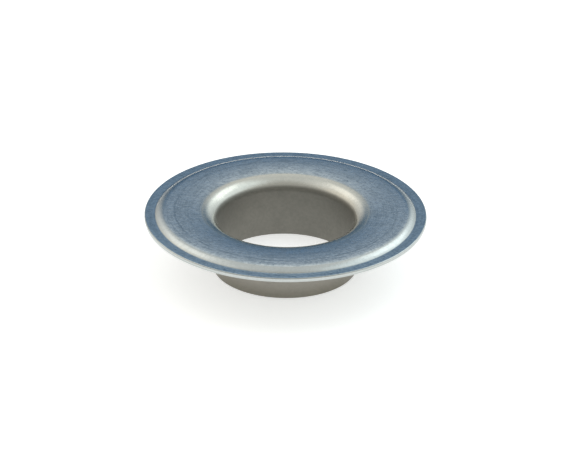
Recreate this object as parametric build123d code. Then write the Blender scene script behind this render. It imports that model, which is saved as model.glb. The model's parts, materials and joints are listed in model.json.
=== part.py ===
from build123d import *
import math
import os

# A grommet eyelet: the flanged barrel half of a two-part grommet, before it is set. It is pressed and drawn
# from one disc of sheet metal, so it is one piece with the same thickness everywhere.
# It stands on the end of its barrel. The origin is the middle of that end, and +Z runs up through the
# flange. Sizes are in millimetres and angles in degrees.

# Sizes over the whole eyelet
flange_diameter = 32.0
overall_height = 7.0
bore_diameter = 15.5
sheet_thickness = 0.5

# From the edge inwards the flange is a flat brim, a pressed step up to the crown ring, the crown's flat, and
# a dished ring that sinks a little towards the mouth
brim_width = 1.25
step_height = 0.45
step_slope = 25.0
dish_width = 1.2
dish_angle = 4.2

# Inside radii of the sheet's bends: at the shoulder of the step, and where the dish turns down into the
# barrel. The foot of the step is pressed sharp on the face.
shoulder_bend = 1.3
mouth_bend = 0.85

# Broken edges, left where the sheet was cut
edge_break = 0.1

flange_radius = flange_diameter / 2
bore_radius = bore_diameter / 2
brim_top = overall_height - step_height
face_up = 90

# The step rises from its foot to the shoulder's bend, which is tangent to the slope and to the crown's flat
shoulder_radius = shoulder_bend + sheet_thickness
foot_r = flange_radius - brim_width
foot_corner = (foot_r, brim_top)
step_run = step_height / math.tan(math.radians(step_slope))
shoulder_r = foot_r - step_run - shoulder_radius * math.tan(math.radians(step_slope / 2))
shoulder_centre = (shoulder_r, overall_height - shoulder_radius)

# The mouth's bend is tangent to the dish above and to the bore wall below
mouth_radius = mouth_bend + sheet_thickness
mouth_r = bore_radius + mouth_radius
dish_r = mouth_r + dish_width
dish_drop = (dish_r - mouth_r) * math.tan(math.radians(dish_angle))
mouth_drop = mouth_radius / math.cos(math.radians(dish_angle))
mouth_centre = (mouth_r, overall_height - dish_drop - mouth_drop)


def sheet_side(depth):
    """One side of the sheet in section, `depth` under its face, from the brim's edge to the barrel's end.

    The foot is a corner on the face. Underneath, the sheet turns round that corner at its full thickness.
    """
    foot = [CenterArc(foot_corner, depth, -face_up, -step_slope)] if depth > 0 else []
    brim_end = foot[0] @ 0 if foot else foot_corner
    step_start = foot[0] @ 1 if foot else foot_corner
    shoulder = CenterArc(
        shoulder_centre, shoulder_radius - depth, face_up - step_slope, step_slope
    )
    mouth = CenterArc(
        mouth_centre, mouth_radius - depth, face_up + dish_angle, face_up - dish_angle
    )
    dish_start_r = dish_r + depth * math.tan(math.radians(dish_angle / 2))
    brim = Line((flange_radius, brim_top - depth), brim_end)
    step = Line(step_start, shoulder @ 0)
    crown = Line(shoulder @ 1, (dish_start_r, overall_height - depth))
    dish = Line(crown @ 1, mouth @ 0)
    barrel = Line(mouth @ 1, (bore_radius + depth, 0))
    return [brim, *foot, step, shoulder, crown, dish, mouth, barrel]


def eyelet_section():
    """The sheet's whole section on one side of the axis, with its cut edges broken."""
    face = sheet_side(0)
    underside = sheet_side(sheet_thickness)
    brim_edge = Line(face[0] @ 0, underside[0] @ 0)
    barrel_end = Line(face[-1] @ 1, underside[-1] @ 1)
    section = make_face(face + underside + [brim_edge, barrel_end])
    brim_corners = section.vertices().sort_by(Axis.X)[-2:]
    barrel_corners = section.vertices().sort_by(Axis.Y)[:2]
    return chamfer(brim_corners + barrel_corners, edge_break)


def eyelet():
    """The eyelet: its section turned once round the axis."""
    return revolve(Plane.XZ * eyelet_section(), Axis.Z, 360)


os.makedirs("parts", exist_ok=True)
part = eyelet()
export_step(part, "parts/eyelet.step")
size = part.bounding_box().size
print(f"eyelet: {size.X:.2f} x {size.Y:.2f} x {size.Z:.2f} mm, {part.volume:.1f} cubic mm")
print(f"step from r = {foot_r:.2f} to {shoulder_r:.2f} mm, crown flat to r = {dish_r:.2f} mm")
print(f"dish {dish_drop:.3f} mm deep, straight barrel wall up to z = {mouth_centre[1]:.2f} mm")
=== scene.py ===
# %% [markdown]
# # A grommet eyelet, dressed for the camera
# The real object is one disc of plated sheet metal, pressed into a flange and drawn into a short barrel.
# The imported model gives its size, its place and its mounts. The piece is built around that frame, so it
# needs no fitting afterwards. Blender works in metres, and `MM` turns a workshop size into metres.

# %% Load the frame and read the driving sizes from it
import json
import math

import bmesh
import bpy
from mathutils import Matrix, Vector


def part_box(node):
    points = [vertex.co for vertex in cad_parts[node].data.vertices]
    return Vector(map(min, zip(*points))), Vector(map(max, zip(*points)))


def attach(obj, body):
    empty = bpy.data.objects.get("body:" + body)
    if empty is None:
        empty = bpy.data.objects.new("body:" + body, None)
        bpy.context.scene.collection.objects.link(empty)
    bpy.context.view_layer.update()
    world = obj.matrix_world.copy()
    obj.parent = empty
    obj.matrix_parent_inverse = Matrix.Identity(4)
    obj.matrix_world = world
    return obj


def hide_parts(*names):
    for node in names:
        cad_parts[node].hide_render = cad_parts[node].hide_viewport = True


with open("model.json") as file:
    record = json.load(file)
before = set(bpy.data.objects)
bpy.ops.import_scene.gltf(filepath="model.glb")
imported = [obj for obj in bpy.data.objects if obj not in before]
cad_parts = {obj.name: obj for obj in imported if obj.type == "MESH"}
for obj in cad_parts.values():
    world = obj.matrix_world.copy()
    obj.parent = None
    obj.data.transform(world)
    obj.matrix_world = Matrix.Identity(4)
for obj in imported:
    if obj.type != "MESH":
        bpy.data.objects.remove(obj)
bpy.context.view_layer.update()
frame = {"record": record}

MM = 0.001
eyelet_low, eyelet_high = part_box("eyelet")
mounts = {m["name"]: m for m in frame["record"]["mounts"]}
flange_radius = (eyelet_high[0] - eyelet_low[0]) / 2
overall_height = eyelet_high[2] - eyelet_low[2]
bore_radius = mounts["bore"]["dims"]["r_mm"] * MM
sheet_thickness = mounts["barrel"]["dims"]["r_mm"] * MM - bore_radius
print(f"flange radius {flange_radius / MM:.2f} mm, height {overall_height / MM:.2f} mm")
print(f"bore radius {bore_radius / MM:.2f} mm, sheet {sheet_thickness / MM:.2f} mm")

# %% [markdown]
# ## Node trees that read like sums
# The eyelet and its finish are both node trees. Wiring Math nodes by hand hides the rule behind the wiring,
# so a `Size` stands for a number inside a tree: a sum on it adds the Math node that does the sum.


# %% Helpers for nodes
def feed(tree, socket, value):
    """Gives an input its value: a Size or an output is linked, and a plain value is set on the socket."""
    if isinstance(value, Size):
        value = value.socket
    if isinstance(value, bpy.types.NodeSocket):
        tree.links.new(value, socket)
    else:
        socket.default_value = value


def add_node(tree, kind, settings=(), inputs=()):
    """Adds one node, sets its settings, and feeds its inputs by name or number."""
    made = tree.nodes.new(kind)
    for name, value in dict(settings).items():
        setattr(made, name, value)
    for name, value in dict(inputs).items():
        feed(tree, made.inputs[name], value)
    return made


class Size:
    """A number inside a node tree. Sums on it become Math nodes."""

    def __init__(self, tree, socket):
        self.tree = tree
        self.socket = socket

    def work(self, operation, *others):
        """One Math node, with this size in its first input."""
        inputs = dict(enumerate((self, *others)))
        made = add_node(self.tree, "ShaderNodeMath", {"operation": operation}, inputs)
        return Size(self.tree, made.outputs[0])

    def __add__(self, other):
        return self.work("ADD", other)

    def __sub__(self, other):
        return self.work("SUBTRACT", other)

    def __mul__(self, other):
        return self.work("MULTIPLY", other)

    def __truediv__(self, other):
        return self.work("DIVIDE", other)

    def __neg__(self):
        return self.work("MULTIPLY", -1.0)

    def __radd__(self, other):
        return self + other

    def __rsub__(self, other):
        return -self + other


print("a Size turns a sum into Math nodes")

# %% [markdown]
# ## The eyelet as a section turned once round its axis
# On the real eyelet every ring has the same section, because the sheet is drawn by round tools. A mesh could
# be spun from a hand-made outline, but then one changed size means drawing it all again. Here Geometry Nodes
# draw the section from its sizes: lines for the flats and arcs for the bends, once along the face and once
# one sheet thickness below. A circle carries the section round, and the joints are welded.

# %% The section's sizes: four come from the frame, the others from the photograph
section_sizes = {
    "Flange radius": flange_radius,
    "Overall height": overall_height,
    "Bore radius": bore_radius,
    "Sheet thickness": sheet_thickness,
    "Brim width": 1.22 * MM,
    "Step height": 0.45 * MM,
    "Step slope": math.radians(38.0),
    "Foot bend": 0.08 * MM,
    "Shoulder bend": 1.4 * MM,
    "Crown radius": 12.4 * MM,
    "Crown dome": 50.0 * MM,
    "Lead-in bend": 1.7 * MM,
    "Lead-in lean": math.radians(44.0),
    "Mouth bend": 0.7 * MM,
    "Edge rounding": 0.12 * MM,
}
section_steps = {"Steps round": 288, "Steps in a bend": 15, "Steps in a flat": 7}
print("section inputs:", len(section_sizes), "sizes and", len(section_steps), "counts")


# %% Points, flats and bends, with the radius along X and the height along Y
def point(tree, r, z):
    """A point of the section."""
    return add_node(tree, "ShaderNodeCombineXYZ", inputs={0: r, 1: z}).outputs[0]


def flat(tree, start, end, steps):
    """A straight stretch between two points."""
    drawn = add_node(tree, "GeometryNodeCurvePrimitiveLine", inputs={"Start": start, "End": end})
    inputs = {"Curve": drawn.outputs[0], "Count": steps}
    return add_node(tree, "GeometryNodeResampleCurve", inputs=inputs).outputs[0]


def bend(tree, centre, radius, start, turn, steps):
    """A round stretch about a centre."""
    inputs = {"Resolution": steps, "Radius": radius, "Start Angle": start, "Sweep Angle": turn}
    drawn = add_node(tree, "GeometryNodeCurveArc", {"mode": "RADIUS"}, inputs)
    inputs = {"Geometry": drawn.outputs[0], "Translation": centre}
    return add_node(tree, "GeometryNodeTransform", inputs=inputs).outputs[0]


print("a stretch of the section is a flat or a bend")

# %% [markdown]
# From the brim inwards the face has a flat brim, a tight bend at the foot of the step, the step's slope, a
# round shoulder, a crown that is a very gentle dome, and a mouth that turns down into the straight barrel.
# Neighbours touch without a corner, so each centre follows from the sizes of the two stretches that it joins.


# %% Centres and leans that both sides of the sheet share
def section_plan(size):
    """Centres, radii and leans of the bends, measured on the face."""
    slope, thick, top = size["Step slope"], size["Sheet thickness"], size["Overall height"]
    dome, crown_r = size["Crown dome"], size["Crown radius"]
    plan = {"brim_top": top - size["Step height"], "dome_z": top - dome}
    brim_inner_r = size["Flange radius"] - size["Brim width"]

    # The foot's bend lies above the brim and touches the slope of the step
    plan["foot_r"] = brim_inner_r + size["Foot bend"] * (slope * 0.5).work("TANGENT")
    plan["foot_z"] = plan["brim_top"] + size["Foot bend"]

    # The shoulder touches the dome on one side and the slope of the step on the other
    plan["shoulder_radius"] = size["Shoulder bend"] + thick
    shoulder_reach = dome - plan["shoulder_radius"]
    across = (brim_inner_r - crown_r) * slope.work("SINE")
    upward = (plan["brim_top"] - plan["dome_z"]) * slope.work("COSINE")
    turn = ((across + upward - plan["shoulder_radius"]) / shoulder_reach).work("ARCCOSINE")
    plan["shoulder_turn"] = turn
    plan["outer_lean"] = slope - turn
    plan["shoulder_r"] = crown_r + shoulder_reach * plan["outer_lean"].work("SINE")
    plan["shoulder_z"] = plan["dome_z"] + shoulder_reach * plan["outer_lean"].work("COSINE")

    # The mouth's tight bend touches the bore wall, and a gentler lead-in joins it to the dome
    lean = size["Lead-in lean"]
    plan["mouth_radius"] = size["Mouth bend"] + thick
    plan["mouth_r"] = size["Bore radius"] + plan["mouth_radius"]
    plan["lead_radius"] = size["Lead-in bend"] + thick
    gentler_by = plan["lead_radius"] - plan["mouth_radius"]
    plan["lead_r"] = plan["mouth_r"] + gentler_by * lean.work("SINE")
    lead_reach = dome - plan["lead_radius"]
    plan["inner_lean"] = ((crown_r - plan["lead_r"]) / lead_reach).work("ARCSINE")
    plan["lead_z"] = plan["dome_z"] + lead_reach * plan["inner_lean"].work("COSINE")
    plan["mouth_z"] = plan["lead_z"] + gentler_by * lean.work("COSINE")
    print("section plan:", len(plan), "measures")
    return plan


# %% [markdown]
# The sheet has two sides. Both turn about the same centres, so the thickness is the same everywhere: a bend
# whose centre lies above the face gains the depth, and one whose centre lies below loses it.

# %% One side of the sheet
quarter_turn = math.pi / 2


def on_bend(tree, r, z, radius, lean):
    """The point of a bend where the sheet has leaned by an angle towards the barrel."""
    return point(tree, r - radius * lean.work("SINE"), z + radius * lean.work("COSINE"))


def sheet_side(tree, size, plan, depth, bend_steps, flat_steps):
    """The stretches of one side, at a depth under the face, from the brim's edge to the barrel's end."""
    slope, edge, lean = size["Step slope"], size["Edge rounding"], size["Lead-in lean"]
    outer, inner = plan["outer_lean"], plan["inner_lean"]
    brim_z = plan["brim_top"] - depth
    brim_start = point(tree, size["Flange radius"] - edge, brim_z)
    brim_end = point(tree, plan["foot_r"], brim_z)
    foot_centre = point(tree, plan["foot_r"], plan["foot_z"])
    foot_radius = size["Foot bend"] + depth
    foot_end = on_bend(tree, plan["foot_r"], plan["foot_z"], -foot_radius, -slope)
    shoulder_centre = point(tree, plan["shoulder_r"], plan["shoulder_z"])
    shoulder_radius = plan["shoulder_radius"] - depth
    shoulder_turn = plan["shoulder_turn"]
    slope_end = on_bend(tree, plan["shoulder_r"], plan["shoulder_z"], shoulder_radius, -slope)
    dome_centre = point(tree, size["Crown radius"], plan["dome_z"])
    dome_radius = size["Crown dome"] - depth
    lead_centre = point(tree, plan["lead_r"], plan["lead_z"])
    lead_radius = plan["lead_radius"] - depth
    mouth_centre = point(tree, plan["mouth_r"], plan["mouth_z"])
    mouth_radius = plan["mouth_radius"] - depth
    wall_r = size["Bore radius"] + depth
    wall_top = point(tree, wall_r, plan["mouth_z"])
    wall_end = point(tree, wall_r, edge)
    return [
        flat(tree, brim_start, brim_end, flat_steps),
        bend(tree, foot_centre, foot_radius, -quarter_turn, -slope, bend_steps),
        flat(tree, foot_end, slope_end, flat_steps),
        bend(tree, shoulder_centre, shoulder_radius, quarter_turn - slope, shoulder_turn, bend_steps),
        bend(tree, dome_centre, dome_radius, quarter_turn - outer, outer + inner, bend_steps),
        bend(tree, lead_centre, lead_radius, inner + quarter_turn, lean - inner, bend_steps),
        bend(tree, mouth_centre, mouth_radius, lean + quarter_turn, quarter_turn - lean, bend_steps),
        flat(tree, wall_top, wall_end, flat_steps),
    ]


print("one side runs from the brim's edge to the barrel's end")


# %% The rounded edges where the sheet was cut, and the whole section
def cut_edge(tree, corners, edge, starts, bend_steps, flat_steps):
    """Two rounded corners, each given by its centre and the angle where it starts, and a flat between."""
    rounded = [
        bend(tree, point(tree, r, z), edge, start, quarter_turn, bend_steps)
        for (r, z), start in zip(corners, starts)
    ]
    # The flat touches each corner on the side where the second one starts
    side_r = math.cos(starts[1])
    side_z = math.sin(starts[1])
    flat_ends = [point(tree, r + edge * side_r, z + edge * side_z) for r, z in corners]
    return [*rounded, flat(tree, *flat_ends, flat_steps)]


def section_curve(tree, size, steps):
    """Both sides of the sheet and its two cut edges, joined."""
    plan = section_plan(size)
    thick, edge = size["Sheet thickness"], size["Edge rounding"]
    rim_r = size["Flange radius"] - edge
    rim = [(rim_r, plan["brim_top"] - thick + edge), (rim_r, plan["brim_top"] - edge)]
    barrel_end = [(size["Bore radius"] + edge, edge), (size["Bore radius"] + thick - edge, edge)]
    stretches = [
        *sheet_side(tree, size, plan, 0.0, *steps),
        *sheet_side(tree, size, plan, thick, *steps),
        *cut_edge(tree, rim, edge, (-quarter_turn, 0.0), *steps),
        *cut_edge(tree, barrel_end, edge, (math.pi, -quarter_turn), *steps),
    ]
    joined = add_node(tree, "GeometryNodeJoinGeometry")
    for stretch in stretches:
        tree.links.new(stretch, joined.inputs[0])
    print("section:", len(stretches), "stretches")
    return joined.outputs[0]


# %% The tree that turns the section into the eyelet
weld_distance = 0.001 * MM


def eyelet_tree(material):
    """Draws the section from its sizes, carries it round the axis and welds the stretches together."""
    tree = bpy.data.node_groups.new("turned_eyelet", "GeometryNodeTree")
    tree.interface.new_socket("Geometry", in_out="OUTPUT", socket_type="NodeSocketGeometry")
    for name in section_sizes:
        tree.interface.new_socket(name, in_out="INPUT", socket_type="NodeSocketFloat")
    for name in section_steps:
        tree.interface.new_socket(name, in_out="INPUT", socket_type="NodeSocketInt")
    entry = tree.nodes.new("NodeGroupInput")
    size = {name: Size(tree, entry.outputs[name]) for name in section_sizes}
    steps = [entry.outputs["Steps in a bend"], entry.outputs["Steps in a flat"]]

    # The circle has the bore's radius, so the section is first moved inwards by as much
    shift = point(tree, -size["Bore radius"], 0.0)
    inputs = {"Geometry": section_curve(tree, size, steps), "Translation": shift}
    on_circle = add_node(tree, "GeometryNodeTransform", inputs=inputs)
    inputs = {"Resolution": entry.outputs["Steps round"], "Radius": size["Bore radius"]}
    circle = add_node(tree, "GeometryNodeCurvePrimitiveCircle", {"mode": "RADIUS"}, inputs)
    inputs = {"Curve": circle.outputs[0], "Profile Curve": on_circle.outputs[0]}
    turned = add_node(tree, "GeometryNodeCurveToMesh", inputs=inputs)

    # The circle carries the section upside down, so the turned shape is rolled over
    inputs = {"Geometry": turned.outputs[0], "Rotation": (math.pi, 0, 0)}
    upright = add_node(tree, "GeometryNodeTransform", inputs=inputs)
    inputs = {"Geometry": upright.outputs[0], "Distance": weld_distance}
    welded = add_node(tree, "GeometryNodeMergeByDistance", inputs=inputs)
    smooth = add_node(tree, "GeometryNodeSetShadeSmooth", inputs={"Geometry": welded.outputs[0]})
    real = add_node(tree, "GeometryNodeRealizeInstances", inputs={0: smooth.outputs[0]})
    inputs = {"Geometry": real.outputs[0], "Material": material}
    dressed = add_node(tree, "GeometryNodeSetMaterial", inputs=inputs)
    leave = tree.nodes.new("NodeGroupOutput")
    tree.links.new(dressed.outputs[0], leave.inputs[0])
    print(f"eyelet tree: {len(tree.nodes)} nodes")
    return tree


# %% [markdown]
# A modifier is only a recipe. The finished piece is a plain mesh, so the evaluated result is copied out, its
# last doubled points are welded, and its faces are turned outwards. An open edge would mean a gap between two
# stretches of the section, so they are counted.


# %% Bake the tree into one closed mesh
def evaluated_mesh(tree, wanted):
    """The tree's result as a plain mesh, with its inputs set by name."""
    holder = bpy.data.objects.new("eyelet_section", bpy.data.meshes.new("eyelet_section"))
    bpy.context.scene.collection.objects.link(holder)
    modifier = holder.modifiers.new("turned", "NODES")
    modifier.node_group = tree
    for item in tree.interface.items_tree:
        if item.in_out == "INPUT":
            modifier[item.identifier] = wanted[item.name]
    graph = bpy.context.evaluated_depsgraph_get()
    mesh = bpy.data.meshes.new_from_object(holder.evaluated_get(graph), depsgraph=graph)
    bpy.data.objects.remove(holder)
    return mesh


def make_eyelet(material):
    """The eyelet as a closed mesh, in place, with its normals outwards."""
    mesh = evaluated_mesh(eyelet_tree(material), {**section_sizes, **section_steps})
    shaped = bmesh.new()
    shaped.from_mesh(mesh)
    bmesh.ops.remove_doubles(shaped, verts=shaped.verts, dist=weld_distance)
    bmesh.ops.recalc_face_normals(shaped, faces=shaped.faces)
    open_edges = sum(not e.is_manifold for e in shaped.edges)
    volume = shaped.calc_volume(signed=True)
    shaped.to_mesh(mesh)
    shaped.free()
    mesh.name = "eyelet_sheet"
    piece = bpy.data.objects.new("eyelet_sheet", mesh)
    bpy.context.scene.collection.objects.link(piece)
    print(f"eyelet: {len(mesh.polygons)} faces, {open_edges} open edges, {volume / MM**3:.1f} cubic mm")
    return piece


# %% [markdown]
# ## The plated finish
# The real surface is a thin bright plating over rolled sheet. Three things show on it: a cool blue cast on
# the flat faces, partly the plating's own tint and partly a painted reflection of the dim blue band they
# mirror; a warmer grey where the sheet was drawn into the barrel, rougher in the bore and darkened there as
# painted shade; and a fine mottle with circular streaks and small pits, left by the tumbling and the tools.
# A picture wrapped round the piece would show a seam. Here all of it is worked out from the place on the
# piece, so it stays on the metal from any side.

# %% Helpers for the finish
# A Mix node has sockets for every kind of data, and these are the ones for colours
mix_share = 0
mix_first = 6
mix_second = 7
mix_result = 2


def noise(tree, where, scale, detail, roughness):
    """Soft random patches, about 1 / scale across."""
    inputs = {"Vector": where, "Scale": scale, "Detail": detail, "Roughness": roughness}
    return Size(tree, add_node(tree, "ShaderNodeTexNoise", inputs=inputs).outputs["Fac"])


def ramp(tree, value, starts, ends, first=0.0, last=1.0):
    """Goes smoothly from first to last while the value goes from starts to ends, and holds past them."""
    settings = {"interpolation_type": "SMOOTHSTEP"}
    inputs = {"Value": value, "From Min": starts, "From Max": ends, "To Min": first, "To Max": last}
    return Size(tree, add_node(tree, "ShaderNodeMapRange", settings, inputs).outputs["Result"])


def between(share, first, second):
    """A number between two, by share."""
    return share * (second - first) + first


def blend_colours(tree, share, first, second, blend_type="MIX"):
    """A colour between two, by share."""
    settings = {"data_type": "RGBA", "blend_type": blend_type}
    inputs = {mix_share: share, mix_first: first, mix_second: second}
    return add_node(tree, "ShaderNodeMix", settings, inputs).outputs[mix_result]


print("finish helpers: noise, ramp, between and blend_colours")


# %% Where a point lies on the piece, in millimetres
def place_on_piece(tree):
    """The place itself, its radius from the axis, its height, and how squarely its face looks up."""
    coordinates = add_node(tree, "ShaderNodeTexCoord")
    inputs = {0: coordinates.outputs["Object"], "Scale": 1 / MM}
    in_mm = add_node(tree, "ShaderNodeVectorMath", {"operation": "SCALE"}, inputs)
    place = {"where": in_mm.outputs[0]}
    parts = add_node(tree, "ShaderNodeSeparateXYZ", inputs={0: place["where"]})
    place["x"], place["y"], place["height"] = [Size(tree, out) for out in parts.outputs]
    place["radius"] = (place["x"] * place["x"] + place["y"] * place["y"]).work("SQRT")
    normal = add_node(tree, "ShaderNodeSeparateXYZ", inputs={0: coordinates.outputs["Normal"]})
    place["facing_up"] = Size(tree, normal.outputs["Z"])
    print("a place on the piece:", ", ".join(place))
    return place


# %% The marks that tumbling and tools left
streak_turns = 1.6
streaks_per_mm = 5.0
arc_waver = 0.8
rubbed_arcs = [
    {"radius": 12.6, "width": 0.16},
    {"radius": 9.7, "width": 0.14},
    {"radius": 11.1, "width": 0.10},
]


def tool_marks(tree, place):
    """Streaks, blotches, grain, pits and faint arcs, each as a number that varies over the piece."""
    # Streaks follow the circle: they change slowly along it and fast across it
    radius, where = place["radius"], place["where"]
    inputs = {
        0: place["x"] / radius * streak_turns,
        1: place["y"] / radius * streak_turns,
        2: radius * streaks_per_mm,
    }
    swept = add_node(tree, "ShaderNodeCombineXYZ", inputs=inputs).outputs[0]
    marks = {
        "streaks": noise(tree, swept, scale=1.0, detail=5.0, roughness=0.65),
        "blotches": noise(tree, where, scale=0.55, detail=4.0, roughness=0.6),
        "grain": noise(tree, where, scale=2.8, detail=3.0, roughness=0.6),
    }
    specks = noise(tree, where, scale=1.9, detail=1.0, roughness=0.5)
    marks["pits"] = ramp(tree, specks, starts=0.70, ends=0.78)

    # Each arc where a tool rubbed keeps to its radius, wavers, and comes and goes
    waver = (marks["blotches"] - 0.5) * arc_waver
    patches = noise(tree, swept, scale=0.5, detail=2.0, roughness=0.5)
    rubbed = ramp(tree, patches, starts=0.44, ends=0.56)
    lines = [
        ramp(tree, (radius - arc["radius"] + waver).work("ABSOLUTE"), starts=arc["width"], ends=0.0)
        for arc in rubbed_arcs
    ]
    marks["arcs"] = sum(lines) * rubbed
    print("marks:", ", ".join(marks))
    return marks


# %% [markdown]
# The flats are blue, partly the plating's own tint and partly a painted reflection of the dim blue band they
# mirror, and the brim is darker and bluest as painted reflection. The step is neutral. The mouth has a cream
# grey as a painted highlight. The barrel is warm grey, darkened as painted shade under the flange and darker
# still towards its end, and the bore is darker as painted shade. Each zone fades into the next over a short
# stretch of radius or height. A face is flat as long as it looks nearly straight up, and near the step it
# may lean more than at the mouth.

# %% The plating's colours and zones
# Blue of the flats: partly the plating's own tint, partly a painted reflection of the dim blue band they
# mirror
face_tint_and_reflection = (0.575, 0.63, 0.665, 1)
# Darker, bluer brim: painted reflection
brim_reflection_blue = (0.40, 0.50, 0.58, 1)
step_grey = (0.51, 0.53, 0.52, 1)
# Cream grey at the mouth: painted highlight colour
mouth_highlight_cream = (0.57, 0.56, 0.51, 1)
# Dark warm grey of the barrel: its own warm tint, darkened as painted shade under the flange
barrel_shade_grey = (0.32, 0.304, 0.27, 1)
# Darker towards the barrel's end: painted shade near the floor
end_shade_grey = (0.225, 0.213, 0.178, 1)
# Darker grey inside the bore: painted shade
bore_shade_grey = (0.285, 0.277, 0.248, 1)
# The colour that the mottle and the painted shade at the step's foot darken towards
blotch_and_foot_shade = (0.42, 0.48, 0.53, 1)
step_foot = (section_sizes["Flange radius"] - section_sizes["Brim width"]) / MM


def plating_zones(tree, place):
    """How far a place belongs to each zone, from 0 to 1, by its radius and height in millimetres."""
    radius, height, facing_up = place["radius"], place["height"], place["facing_up"]
    zones = {
        "brim": ramp(tree, radius, starts=14.7, ends=14.9),
        "step": ramp(tree, radius, starts=11.5, ends=12.5),
        "bore": ramp(tree, radius, starts=8.12, ends=7.85),
        "mouth": ramp(tree, height, starts=5.2, ends=5.7),
        # The barrel darkens towards its end as painted shade
        "barrel_end": ramp(tree, height, starts=2.0, ends=0.0),
        # A thin band at the foot of the step, darkened as painted shade
        "crease": ramp(tree, (radius - step_foot).work("ABSOLUTE"), starts=0.10, ends=0.01),
    }
    least_flat = between(zones["step"], 0.9965, 0.97)
    quite_flat = between(zones["step"], 0.9993, 0.9976)
    zones["flat"] = ramp(tree, facing_up, starts=least_flat, ends=quite_flat)
    print("zones:", ", ".join(zones))
    return zones


def clean_plating(tree, zones):
    """The plating's colour before any mark, with painted reflection on the flats, a painted highlight at the
    mouth and painted shade on the barrel and in the bore.
    """
    flats = blend_colours(tree, zones["brim"], face_tint_and_reflection, brim_reflection_blue)
    outside = blend_colours(tree, zones["barrel_end"], barrel_shade_grey, end_shade_grey)
    outside = blend_colours(tree, zones["mouth"], outside, mouth_highlight_cream)
    walls = blend_colours(tree, zones["bore"], outside, bore_shade_grey)
    leaning = blend_colours(tree, zones["step"], walls, step_grey)
    return blend_colours(tree, zones["flat"], leaning, flats)


# %% The plated sheet's material
polished_roughness = 0.09
bore_dullness = 0.34
bump_strength = 0.6
bump_depth = 0.018 * MM


def marks_and_foot_shade(tree, marks, zones):
    """How much the marks darken the plating, most on the flats, which the tools didn't burnish, plus a
    painted shade at the foot of the step.
    """
    grain = ramp(tree, marks["grain"], starts=0.38, ends=0.66) * 0.5
    blotches = ramp(tree, marks["blotches"], starts=0.35, ends=0.65) * 0.3
    streaks = ramp(tree, marks["streaks"], starts=0.4, ends=0.62) * 0.3
    mottle = grain + blotches + streaks + marks["arcs"] * 0.45 + marks["pits"] * 0.6
    # The foot of the step is darkened as painted shade, on top of the marks
    return mottle * between(zones["flat"], 0.15, 0.80) + zones["crease"] * 0.35


def plated_finish():
    """Bright plating: blue-grey on the flat faces, partly painted reflection, warm grey in the barrel
    darkened as painted shade, with mottle, streaks and a painted shade at the step's foot.
    """
    made = bpy.data.materials.new("plated_sheet")
    made.use_nodes = True
    tree = made.node_tree
    shader = tree.nodes["Principled BSDF"]
    shader.inputs["Metallic"].default_value = 1.0
    place = place_on_piece(tree)
    marks = tool_marks(tree, place)
    zones = plating_zones(tree, place)
    clean = clean_plating(tree, zones)
    darkness = marks_and_foot_shade(tree, marks, zones)
    feed(tree, shader.inputs["Base Color"], blend_colours(tree, darkness, clean, blotch_and_foot_shade, "MULTIPLY"))
    grain, blotches, streaks = marks["grain"], marks["blotches"], marks["streaks"]
    rough = grain * 0.12 + blotches * 0.10 + streaks * 0.06 + zones["bore"] * bore_dullness
    feed(tree, shader.inputs["Roughness"], rough + polished_roughness)
    height = grain + streaks * 0.3 - marks["pits"] * 0.4
    inputs = {"Height": height, "Strength": bump_strength, "Distance": bump_depth}
    bump = add_node(tree, "ShaderNodeBump", inputs=inputs)
    feed(tree, shader.inputs["Normal"], bump.outputs[0])
    print(f"plated finish: {len(tree.nodes)} nodes")
    return made


# %% Make the piece and say what it is
eyelet = make_eyelet(plated_finish())
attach(eyelet, "root")
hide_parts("eyelet")
print("the sheet rides on root and stands for the packed eyelet")

# %% [markdown]
# ## Floor, light and camera
# Polished metal shows the room more than itself, so the light is set by what each face mirrors. The crown is
# nearly flat and mirrors a band about 27 degrees above the far horizon: that band stays dim and blue. The
# step and the mouth lean, so they mirror the pale walls and the soft boxes higher up. The floor is plain and
# pale, and glows a little, so that the barrel's shadow on it stays light.

# %% Floor
floor_reach = 2.5
paper_white = (0.93, 0.93, 0.93, 1)
glow_white = (1, 1, 1, 1)
paper_roughness = 0.9
paper_glow = 0.50
floor_corners = [(x, y, 0) for x, y in ((-1, -1), (1, -1), (1, 1), (-1, 1))]
floor_mesh = bpy.data.meshes.new("floor")
floor_mesh.from_pydata([Vector(corner) * floor_reach for corner in floor_corners], [], [(0, 1, 2, 3)])
floor = bpy.data.objects.new("floor", floor_mesh)
bpy.context.scene.collection.objects.link(floor)
paper = bpy.data.materials.new("floor_paper")
paper.use_nodes = True
paper_shader = paper.node_tree.nodes["Principled BSDF"]
paper_shader.inputs["Base Color"].default_value = paper_white
paper_shader.inputs["Roughness"].default_value = paper_roughness
paper_shader.inputs["Emission Color"].default_value = glow_white
paper_shader.inputs["Emission Strength"].default_value = paper_glow
floor_mesh.materials.append(paper)
print("floor reaches", floor_reach, "m each way")

# %% Colours of the room, as the piece mirrors it
blue_window = (0.105, 0.215, 0.35, 1)
ceiling = (0.82, 0.85, 0.84, 1)
right_wall = (1.23, 1.35, 1.38, 1)
left_wall = (1.12, 1.13, 1.10, 1)
far_left = (1.08, 1.03, 0.93, 1)
camera_side = (0.54, 0.54, 0.51, 1)
print("room: window", blue_window[:3], "ceiling", ceiling[:3])

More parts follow.
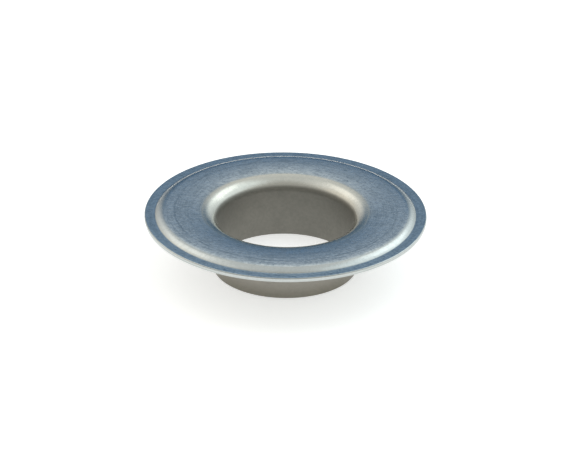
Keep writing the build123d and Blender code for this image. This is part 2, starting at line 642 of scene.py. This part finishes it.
# %% The room: each part fades in along its own direction, which runs from -1 to 1
scene = bpy.context.scene
scene.view_settings.view_transform = "Standard"
world = bpy.data.worlds.new("studio")
scene.world = world
world.use_nodes = True
room = world.node_tree
direction = add_node(room, "ShaderNodeTexCoord").outputs["Generated"]
ways = add_node(room, "ShaderNodeSeparateXYZ", inputs={0: direction})
rightward, backward, upward = [Size(room, out) for out in ways.outputs]
over_window = ramp(room, upward, starts=0.435, ends=0.535)
room_colour = blend_colours(room, over_window, blue_window, ceiling)
on_right = ramp(room, rightward, starts=0.15, ends=0.40)
room_colour = blend_colours(room, on_right, room_colour, right_wall)
on_left = ramp(room, rightward, starts=-0.16, ends=-0.44)
room_colour = blend_colours(room, on_left, room_colour, left_wall)
on_far_left = ramp(room, rightward, starts=-0.46, ends=-0.76)
room_colour = blend_colours(room, on_far_left, room_colour, far_left)
behind_camera = ramp(room, backward, starts=0.15, ends=-0.45)
room_colour = blend_colours(room, behind_camera, room_colour, camera_side)
brightness = ramp(room, upward, starts=0.0, ends=0.55, first=0.5, last=1.0)
backdrop = room.nodes["Background"]
feed(room, backdrop.inputs["Color"], room_colour)
feed(room, backdrop.inputs["Strength"], brightness)
print(f"room: {len(room.nodes)} nodes")

# %% [markdown]
# Three soft boxes stand behind the piece, above the blue band. The outer two draw the bright bands on the
# step and at the mouth, cool on the right and warm on the left. The faint middle one joins them.

# %% Soft boxes
box_distance = 0.8


def softbox(name, azimuth, elevation, size, radiance, colour):
    """A square lamp aimed at the piece. Azimuth 0 is straight behind it, and grows to the right."""
    turn, lift = math.radians(azimuth), math.radians(elevation)
    towards = Vector((math.sin(turn) * math.cos(lift), math.cos(turn) * math.cos(lift), math.sin(lift)))
    lamp = bpy.data.lights.new(name, "AREA")
    lamp.shape = "SQUARE"
    lamp.size = size
    lamp.energy = radiance * math.pi * size**2
    lamp.color = colour
    holder = bpy.data.objects.new(name, lamp)
    holder.location = towards * box_distance
    holder.rotation_euler = towards.to_track_quat("Z", "Y").to_euler()
    scene.collection.objects.link(holder)
    print(f"{name}: {lamp.energy:.2f} W at {box_distance} m")


softbox("right_box", azimuth=40, elevation=43, size=0.34, radiance=0.80, colour=(0.95, 1.0, 0.98))
softbox("left_box", azimuth=-44, elevation=46, size=0.34, radiance=0.50, colour=(1.0, 0.96, 0.86))
softbox("back_box", azimuth=0, elevation=41, size=0.24, radiance=0.10, colour=(1.0, 0.90, 0.75))

# %% [markdown]
# The camera looks down on the flange at the angle at which its round edge becomes an ellipse a little under
# half as high as it is wide. It stands well back, as for a product photograph, and leans by half a degree.

# %% Camera
view_distance = 500 * MM
view_elevation = math.radians(26.8)
view_roll = math.radians(0.6)
pixels_per_mm = 8.81
frame_width_px = 570
sensor_width_mm = 36
aim = Vector((-0.045 * MM, 0, 4.7 * MM))
camera_data = bpy.data.cameras.new("camera")
camera_data.sensor_width = sensor_width_mm
camera_data.lens = pixels_per_mm / MM * view_distance / frame_width_px * sensor_width_mm
camera = bpy.data.objects.new("camera", camera_data)
towards_camera = Vector((0, -math.cos(view_elevation), math.sin(view_elevation)))
camera.location = aim + towards_camera * view_distance
level = towards_camera.to_track_quat("Z", "Y").to_matrix()
camera.rotation_euler = (level @ Matrix.Rotation(view_roll, 3, "Z")).to_euler()
scene.collection.objects.link(camera)
scene.camera = camera
print(f"lens {camera_data.lens:.0f} mm at {view_distance / MM:.0f} mm")
